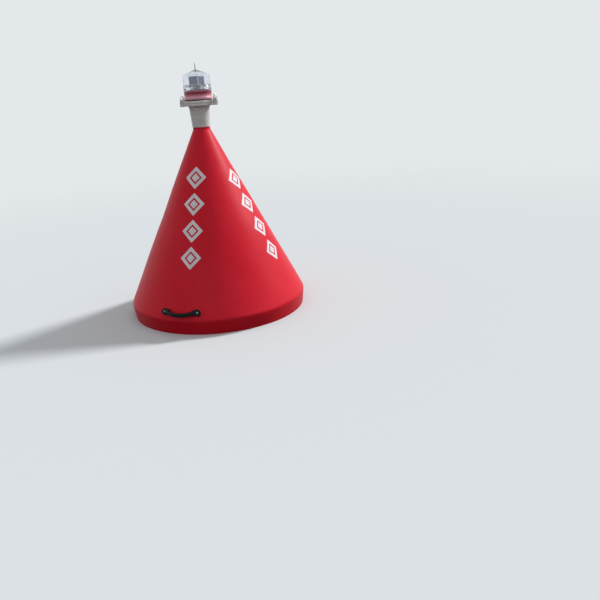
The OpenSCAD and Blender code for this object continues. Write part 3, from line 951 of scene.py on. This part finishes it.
# %% Flanges
def flange(name, z, t, edge):
    """A flange of thickness t on the plane z, with a bolt hole in each ear and rounded edges."""
    obj = pen(name, [Vector((p.x, p.y, z)) * MM for p in flange_outline()])
    bpy.ops.mesh.select_all(action="SELECT")
    bpy.ops.mesh.edge_face_add()
    bpy.ops.mesh.select_all(action="SELECT")
    bpy.ops.mesh.extrude_region_move(TRANSFORM_OT_translate={"value": (0, 0, t * MM)})
    leave()
    clean(settle(obj))
    for ear in EARS:
        middle = at(EAR_AT * math.cos(ear), EAR_AT * math.sin(ear), z + t / 2)
        drill(obj, EAR_HOLE_R, 2 * t, middle, sides=40)
    return smooth(eased(obj, edge, 4, 50), 40)


lower = flange("white_neck_flange", NECK_FLANGE_Z, LANTERN_Z - NECK_FLANGE_Z, 2.0)
dress(lower, white_neck)
hand_over(lower, "white_plastic", "neck_flange")

# %% The lantern's flange with its seats
SEAT_R, SEAT_H = 12.0, 10.0
white_lantern = white_plastic("Moulded_ABS_white", "ECEAE6", "BDB6AA", 0.38, 420, 0.2, 0.7)
seat_rows = [
    [EAR_HOLE_R, -5, 0],
    [SEAT_R + 1.2, -5, 0],
    [SEAT_R + 1.0, 0, 0],
    [SEAT_R, 1.2, 1.0],
    [SEAT_R, SEAT_H, 1.6],
    [EAR_HOLE_R, SEAT_H, 0.4],
    [EAR_HOLE_R, -5, 0],
]
ear_seat = smooth(turned("ear_seat", rounded(seat_rows, steps=4), steps=40))
seats = [copy_to(ear_seat, place @ at(0, 0, GASKET_Z)) for place in ear_places]
upper = joined("white_lantern_base", [flange("base", LANTERN_Z, GASKET_Z - LANTERN_Z, 2.4)] + seats)
discard(ear_seat)
dress(upper, white_lantern)
hand_over(upper, "white_plastic", "lantern_base")

# %% [markdown]
# A bolt holds each pair of ears, with a cap nut and a washer on top. A cap nut is a hexagon with a dome,
# and it is polished, so it is the brightest thing on the flange even in the shade. From below only the
# bolt's round end shows.

# %% Cap nuts and bolts
NUT_FLATS, NUT_H, DOME_R, DOME_UP, SHANK_R, WASHER_T = 19.0, 8.0, 8.8, 1.5, 4.0, 2.0
NUT_Z = GASKET_Z + SEAT_H + WASHER_T
dome_points = [Vector((0, NUT_H - 1)), Vector((DOME_R, NUT_H - 1))]
dome_points += arc((0, NUT_H + DOME_UP), (DOME_R, DOME_R), 0, 90, 8)
stack = [
    moved(washer(outer=12.5, inner=4.6, t=WASHER_T), at(0, 0, NUT_Z - WASHER_T)),
    moved(hex_head(NUT_FLATS, NUT_H), at(0, 0, NUT_Z)),
    moved(smooth(turned("dome", dome_points, steps=40), 50), at(0, 0, NUT_Z)),
]
fasten("ear_cap_nuts", stack, ear_places, polished)
shank_rows = [
    [0, NECK_FLANGE_Z + 1, 0],
    [SHANK_R, NECK_FLANGE_Z + 1, 0.9],
    [SHANK_R, NUT_Z, 0.5],
    [0, NUT_Z, 0],
]
shank = smooth(turned("shank", rounded(shank_rows, steps=3), steps=32))
fasten("ear_bolts", [shank], ear_places, stainless)

# %% [markdown]
# Between the flange and the red housing sits a dark rubber seal, which shows as a thin line. It bulges a
# little, because the housing presses on it.

# %% The seal
SEAL_R = 73.5
grain = {"Scale": 300, "Detail": 3}
seal_rubber = two_tone("Seal_rubber_dark", ("3A1A20", "5E2E38"), grain, (0.55, 0.8), IOR=1.52)[0]
seal_rows = [
    [0, GASKET_Z, 0],
    [SEAL_R, GASKET_Z, 1],
    [SEAL_R + 1, (GASKET_Z + LENS_Z) / 2, 3],
    [SEAL_R, LENS_Z, 1],
    [0, LENS_Z, 0],
]
seal = turned("seal", rounded(seal_rows, steps=4))
done(seal, seal_rubber, "gasket_rubber", "gasket", sharp=50)

# %% [markdown]
# The red battery housing carries the clear cover. It is moulded ABS, and its colour holds painted light
# and shade: low down, where the white flange throws more light on it, it is painted a pale pink, and
# towards the top, and inside the cover, it is painted a deep crimson for the shade there. The two colours
# are mixed by height, broken up by noise. A lip runs round its foot and another under the cover, with the
# wall between them set back a little.

# %% Red plastic with painted light and shade
PAINTED_LIGHT_Z, PAINTED_SHADE_Z = 1.281, 1.297
red_lamp, node, shader, where = material("Moulded_ABS_red_painted_light_and_shade", IOR=1.53)
height = node("SeparateXYZ", {}, where).outputs["Z"]
cloudy = node("TexNoise", {"Scale": 60, "Detail": 4}, where)
# painted light: a pale pink for the light that the white flange throws onto the housing's foot
painted_lit_pink = node("Mix", {A: linear("F29AAC"), B: linear("F8BECB")}, cloudy)
wavy = node("Math", {"operation": "MULTIPLY_ADD", 1: 0.008}, {0: cloudy, 2: height})
# painted light and shade by height: pale pink low down, deep crimson towards the top for the shade under
# and inside the cover
fade = node("MapRange", {"From Min": PAINTED_SHADE_Z, "From Max": PAINTED_LIGHT_Z}, wavy)
tone = node("Mix", {A: linear("A5123A")}, {FACTOR: fade, B: painted_lit_pink})
matt = node("MapRange", {"To Min": 0.26, "To Max": 0.46}, cloudy)
feed(shader, Base_Color=tone, Roughness=matt)

# %% The battery housing
LENS_FOOT_R, LENS_TOP_R, LENS_WALL_H, CAP_RISE, LENS_WALL = 75.0, 70.0, 124.0, 25.0, 3.0
HOUSING_H, SPIGOT_H, BOARD_T = 38.0, 50.0, 6.0
LIP_H, SET_BACK = 11.0, 1.3


def wall_r(z):
    """Outer radius of the lantern's smooth wall at a height above the housing's foot."""
    return LENS_FOOT_R + (LENS_TOP_R - LENS_FOOT_R) * z / LENS_WALL_H


spigot_r = wall_r(HOUSING_H) - LENS_WALL - 1
housing_rows = [
    [0, LENS_Z, 0],
    [wall_r(0), LENS_Z, 1.0],
    [wall_r(LIP_H), LENS_Z + LIP_H, 1.2],
    [wall_r(LIP_H + 2) - SET_BACK, LENS_Z + LIP_H + 2, 1.0],
    [wall_r(HOUSING_H - 5) - SET_BACK, LENS_Z + HOUSING_H - 5, 0.5],
    [wall_r(HOUSING_H - 4), LENS_Z + HOUSING_H - 4, 0.4],
    [wall_r(HOUSING_H), LENS_Z + HOUSING_H, 0.8],
    [spigot_r, LENS_Z + HOUSING_H, 0],
    [spigot_r, LENS_Z + SPIGOT_H, 0.8],
    [0, LENS_Z + SPIGOT_H, 0],
]
housing = turned("lamp_housing", rounded(housing_rows, steps=4), steps=128)
done(housing, red_lamp, "red_lamp_plastic", "battery_housing")

# %% [markdown]
# A thin dark line runs round the joint between housing and cover: the edge of a flat sealing ring.

# %% The sealing ring
RING_PROUD, RING_W, RING_DOWN, RING_UP, RING_ROUND = 0.35, 1.2, 1.4, 0.9, 0.7
ring_out = wall_r(HOUSING_H) + RING_PROUD
ring_in = ring_out - RING_W
ring_low, ring_high = LENS_Z + HOUSING_H - RING_DOWN, LENS_Z + HOUSING_H + RING_UP
ring_rows = [
    [ring_in, ring_low, 0],
    [ring_out, ring_low, RING_ROUND],
    [ring_out, ring_high, RING_ROUND],
    [ring_in, ring_high, 0],
    [ring_in, ring_low, 0],
]
joint_ring = turned("joint_ring", rounded(ring_rows, steps=4), steps=128)
done(joint_ring, seal_rubber, "gasket_rubber", sharp=50)

# %% [markdown]
# On the housing lies the board with a ring of lamps under clear epoxy domes. The board is green-black
# lacquered laminate. The domes are small, but they sit in the middle of the lens belt, where they
# glint, so each has its collar and its dome.

# %% The board's laminate
spots = {"Scale": 240, "feature": "F1"}
pads = {"From Min": 0.16, "From Max": 0.12, "To Max": 0.8}
lacquer = ("22302B", "8D8F86")
name = "Lacquered_circuit_laminate"
laminate = two_tone(name, lacquer, spots, (0.3, 0.45), pads, "TexVoronoi", IOR=1.5)[0]
dress(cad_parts["lamp_board"], laminate)

# %% The lamps
LAMPS, LAMP_RING = 8, 39.5
COLLAR_R, COLLAR_H, LAMP_R, LAMP_UP = 5.0, 1.0, 4.5, 4.5
clear_epoxy = {"IOR": 1.54, "Roughness": 0.08, "Transmission_Weight": 0.55}
epoxy = two_tone("Clear_lamp_epoxy", ("F1EBDC", "DCD0B2"), {"Scale": 400, "Detail": 1}, **clear_epoxy)[0]
collar = rounded([[0, 0, 0], [COLLAR_R, 0, 0], [COLLAR_R, COLLAR_H, 0], [LAMP_R, COLLAR_H + 0.2, 0]])
dome = turned("dome", collar + arc((0, LAMP_UP), (LAMP_R, LAMP_R), 0, 90, 8), steps=28)
on_board = at(LAMP_RING, 0, LENS_Z + SPIGOT_H + BOARD_T)
ring = [copy_to(dome, about_z(i * math.tau / LAMPS) @ on_board) for i in range(LAMPS)]
discard(dome)
done(joined("lamp_ring", ring), epoxy, "lamp_epoxy", "lamp_domes", sharp=50)

# %% [markdown]
# The block above the board carries a solar panel on each side. A panel is a thin box with a raised
# frame: its face is inset, and the inset face is pushed in and given the cells' finish. The cells'
# pattern follows a UV map in metres, so that strips and fingers keep their size on all four sides.

# %% Solar cells
STRIP, STRIP_GAP = 0.0085, 0.0007
FINGER_PITCH, FINGER = 0.0014, 0.00022
glass = {"IOR": 1.5, "Coat_Weight": 1.0, "Coat_Roughness": 0.06}
cells, node, shader, where = material("Silicon_cells_under_glass", **glass)
place_on_face = node("SeparateXYZ", {}, {0: node("TexCoord").outputs["UV"]}).outputs


def stripes(source, pitch, width):
    """1 on lines of a given width that repeat at a pitch, and 0 between them."""
    scaled = node("Math", {"operation": "DIVIDE", 1: pitch}, source)
    saw = node("Math", {"operation": "FRACT"}, scaled)
    return node("Math", {"operation": "LESS_THAN", 1: width / pitch}, saw)


fingers = stripes(place_on_face["Y"], FINGER_PITCH, FINGER)
gaps = stripes(place_on_face["X"], STRIP, STRIP_GAP)
grain = node("TexVoronoi", {"Scale": 160, "feature": "F1"}, where)
blues = {A: linear("10163A"), B: linear("2A3566")}
blue = node("Mix", blues, grain.outputs["Color"])
lined = node("Mix", {B: linear("5E6684")}, {FACTOR: fingers, A: blue})
strips = node("Mix", {B: linear("C6CAD2")}, {FACTOR: gaps, A: lined})
matt = node("MapRange", {"To Min": 0.25, "To Max": 0.4}, grain)
feed(shader, Base_Color=strips, Roughness=matt)

# %% The panel block
BLOCK_W, BLOCK_Z, PANEL_W, PANEL_H, PANEL_T = 56.0, 1339.0, 54.0, 42.0, 3.0
PANEL_Z = BLOCK_Z + PANEL_H / 2
PANEL_TURN = LANTERN_TURN + math.radians(9 + 45)
POST_Z, POST_R, POST_FOOT_R, POST_TOP_R = 1321.0, 22.0, 26.0, 27.0
TOP_EDGE_W, TOP_STEP, TOP_PAD_W, BLOCK_EDGE = 5.0, 1.5, 14.0, 1.2
pale_block = white_plastic("Moulded_ABS_pale_grey", "C9D2DC", "9FA8B2", 0.36, 420, 0.15)
tower = box("tower", (BLOCK_W, BLOCK_W, PANEL_H), (0, 0, PANEL_Z))
edit(tower)
pick("FACE", lambda f: f.normal.z > 0.9)
bpy.ops.mesh.inset(thickness=TOP_EDGE_W * MM)
bpy.ops.mesh.extrude_region_move(TRANSFORM_OT_translate={"value": (0, 0, TOP_STEP * MM)})
bpy.ops.mesh.inset(thickness=TOP_PAD_W * MM)
leave()
moved(eased(tower, BLOCK_EDGE, 3), about_z(PANEL_TURN))
post_rows = [
    [0, POST_Z, 0],
    [POST_FOOT_R, POST_Z, 0.6],
    [POST_FOOT_R, POST_Z + 3, 1],
    [POST_R, POST_Z + 5, 1.5],
    [POST_R, BLOCK_Z - 5, 3],
    [POST_TOP_R, BLOCK_Z, 0.5],
    [0, BLOCK_Z + 0.5, 0],
]
post = turned("post", rounded(post_rows, steps=4), steps=64)
done(joined("panel_tower", [tower, post]), pale_block, "block_plastic", "panel_block", sharp=40)

# %% The solar panels
FRAME_W, FRAME_H, EDGE_ROUND = 1.8, 0.7, 0.6


def framed_panel(name):
    """A panel on the block's -Y side, with its cells sunk in a frame and laid out on a UV map."""
    panel = box(name, (PANEL_W, PANEL_T, PANEL_H), (0, -(BLOCK_W + PANEL_T) / 2, PANEL_Z))
    dress(panel, pale_block, cells)
    edit(panel)
    pick("EDGE", lambda e: all(v.co.y < -(BLOCK_W / 2 + 0.5) * MM for v in e.verts))
    bpy.ops.mesh.bevel(offset=EDGE_ROUND * MM, segments=2)
    pick("FACE", lambda f: f.normal.y < -0.99 and f.calc_area() > 1e-3)
    bpy.ops.mesh.inset(thickness=FRAME_W * MM)
    bpy.ops.mesh.extrude_region_move(TRANSFORM_OT_translate={"value": (0, FRAME_H * MM, 0)})
    panel.active_material_index = 1
    bpy.ops.object.material_slot_assign()
    leave()
    layer = panel.data.uv_layers.active
    for loop in panel.data.loops:
        corner = panel.data.vertices[loop.vertex_index].co
        layer.data[loop.index].uv = (corner.x + PANEL_W / 2 * MM, corner.z - BLOCK_Z * MM)
    return panel


for i in range(4):
    panel = smooth(moved(framed_panel(f"framed_panel_{i + 1}"), about_z(PANEL_TURN + i * math.pi / 2)))
    hand_over(panel, "solar_cells", f"solar_panel_{i + 1}")

# %% [markdown]
# The cover is clear polycarbonate, 3 mm thick. Its outside carries the belt: stacked rings whose faces
# slope so that they gather the lamps' light into a flat beam, as the big glass lens of a lighthouse
# does. Its inside is smooth. Outside and inside are drawn as one closed outline and turned together, so
# the wall is real glass with two faces, and light bends in it as it should.

# %% Clear polycarbonate
PC_IOR = 1.585
glassy = {"IOR": PC_IOR, "Transmission_Weight": 0.98, "Base_Color": linear("F6F9FE")}
clear_pc, node, shader, where = material("Clear_polycarbonate", **glassy)
haze = node("TexNoise", {"Scale": 45, "Detail": 5, "Roughness": 0.7}, where)
hazy = {"From Min": 0.4, "From Max": 0.75, "To Min": 0.03, "To Max": 0.16}
dull = node("MapRange", hazy, haze)
ripple = node("TexNoise", {"Scale": 110, "Detail": 1}, where)
bump = node("Bump", {"Strength": 0.12, "Distance": 0.0005}, {"Height": ripple})
feed(shader, Roughness=dull, Normal=bump)

# %% The lens belt
BELT_RINGS, BELT_PITCH, BELT_STEP, BELT_CROWN, BELT_FOOT = 7, 3.8, 1.7, 0.35, 9.2
BELT_MID = HOUSING_H + BELT_FOOT + BELT_RINGS * BELT_PITCH / 2
RING_STEPS = 4


def ring_bulge(ring, t):
    """How far a ring stands out of the wall, for t from 0 at its foot to 1 at its top. Ring 0 is the
    middle one. Those under it stand out most at their tops, and those over it at their feet."""
    if ring < 0:
        return BELT_STEP * math.sin(t * math.pi / 2)
    if ring > 0:
        return BELT_STEP * math.cos(t * math.pi / 2)
    return BELT_STEP + BELT_CROWN * math.sin(t * math.pi)


belt = []
for ring in range(-(BELT_RINGS // 2), BELT_RINGS // 2 + 1):
    for k in range(RING_STEPS + 1):
        t = k / RING_STEPS
        z = BELT_MID + (ring - 0.5 + t) * BELT_PITCH
        belt.append([wall_r(z) + ring_bulge(ring, t), LENS_Z + z, 0])
print("points of the belt:", len(belt))

# %% The lens cover
CAP_R = 6.5
cap_slope = math.atan(CAP_RISE / (LENS_TOP_R - CAP_R))
cap_drop = LENS_WALL / math.cos(cap_slope)
top_z = LENS_Z + LENS_WALL_H
apex_z = top_z + CAP_RISE
cover_foot = LENS_Z + HOUSING_H + 0.1
cover_rows = [
    [wall_r(HOUSING_H), cover_foot, 0.4],
    *belt,
    [LENS_TOP_R, top_z, 6],
    [CAP_R, apex_z, 0],
    [0, apex_z + 0.4, 0],
    [0, apex_z - cap_drop, 0],
    [CAP_R, apex_z - cap_drop, 0],
    [LENS_TOP_R - LENS_WALL, top_z + LENS_WALL * math.tan(cap_slope) - cap_drop, 4.5],
    [wall_r(HOUSING_H) - LENS_WALL, cover_foot, 0.4],
]
path = rounded(cover_rows)
cover = turned("clear_cover", path + path[:1], steps=128)
done(cover, clear_pc, "clear_polycarbonate", "lens_cover", sharp=25)

# %% [markdown]
# A thin spike keeps birds off the lens. It is moulded in the same plastic, with a small foot that
# spreads into the cap, and it is more milky than the cover because it is solid.

# %% The spike
SPIKE_H, TIP_R = 33.0, 2.5
tip_z = apex_z + SPIKE_H - TIP_R
grain, milk = {"Scale": 220, "Detail": 3}, {"IOR": PC_IOR, "Transmission_Weight": 0.06}
milky = two_tone("Milky_polycarbonate", ("F4F7F5", "DCE4E0"), grain, (0.18, 0.4), **milk)[0]
spike_rows = [
    [0, apex_z - 0.5, 0],
    [8.2, apex_z - 0.8, 0],
    [5.2, apex_z + 2, 2.5],
    [4.2, apex_z + 6, 0],
]
spike_points = rounded(spike_rows, steps=5) + arc((0, tip_z), (TIP_R, TIP_R), 0, 90, 6)
spike = turned("clear_spike", spike_points, steps=32)
done(spike, milky, "spike_polycarbonate", "bird_spike", sharp=40)

# %% [markdown]
# Below the waterline hang the ballast disc, the mooring plate and the shackle. They are seldom seen, but
# they are part of the buoy. The steel is hot-dip galvanised: zinc crystals of 5 to 15 mm, each of its
# own grey, which a Voronoi pattern draws, with white rust in patches. The disc is cast iron under black
# bitumen paint, with rust where the paint has chipped.

# %% Galvanised steel
zinc, node, shader, where = material("Galvanised_steel", Metallic=0.85)
spangle = node("TexVoronoi", {"Scale": 110, "feature": "F1"}, where)
facet = node("SeparateColor", {}, spangle.outputs["Color"])
tone = node("Mix", {A: linear("85898D"), B: linear("B4B8BB")}, facet)
rust = node("TexNoise", {"Scale": 40, "Detail": 6, "Roughness": 0.7}, where)
bloomed = node("MapRange", {"From Min": 0.55, "From Max": 0.68, "To Max": 0.7}, rust)
skin = node("Mix", {B: linear("8C8377")}, {FACTOR: bloomed, A: tone})
matt = node("MapRange", {"To Min": 0.32, "To Max": 0.62}, facet.outputs["Green"])
lumps = node("Bump", {"Strength": 0.3, "Distance": 0.0004}, {"Height": rust})
feed(shader, Base_Color=skin, Roughness=matt, Normal=lumps)
for name in ("mooring_plate", "mooring_eye", "shackle_bow", "shackle_pin"):
    dress(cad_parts[name], zinc)

# %% Painted iron
iron, node, shader, where = material("Cast_iron_bitumen_paint", IOR=1.6)
sand = node("TexNoise", {"Scale": 420, "Detail": 5, "Roughness": 0.7}, where)
chips = node("TexNoise", {"Scale": 55, "Detail": 6, "Roughness": 0.75}, where)
bare = node("MapRange", {"From Min": 0.6, "From Max": 0.64}, chips)
tone = node("Mix", {A: linear("242220"), B: linear("6B3A22")}, bare)
matt = node("MapRange", {"To Min": 0.45, "To Max": 0.8}, sand)
cast = node("Bump", {"Strength": 0.6, "Distance": 0.0006}, {"Height": sand})
feed(shader, Base_Color=tone, Roughness=matt, Normal=cast)
dress(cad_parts["ballast_disc"], iron)
dress(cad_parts["fill_plug"], red_skin)

# %% Plate bolts
PLATE_Z, PLATE_BOLT_R, PLATE_WASHER_T = 96.0, 48.0, 1.8
upside_down = Matrix.Rotation(math.pi, 4, "X")
plate_places = [
    about_z(math.radians(45 + 90 * i)) @ at(PLATE_BOLT_R, 0, PLATE_Z) @ upside_down for i in range(4)
]
stack = [
    washer(outer=10, inner=5.3, t=PLATE_WASHER_T),
    moved(hex_head(flats=16, h=6.4), at(0, 0, PLATE_WASHER_T)),
]
fasten("plate_bolts", stack, plate_places, stainless)

# %% Sizes
low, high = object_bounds()
print("visual box in metres:", [round(b - a, 3) for a, b in zip(low, high)])
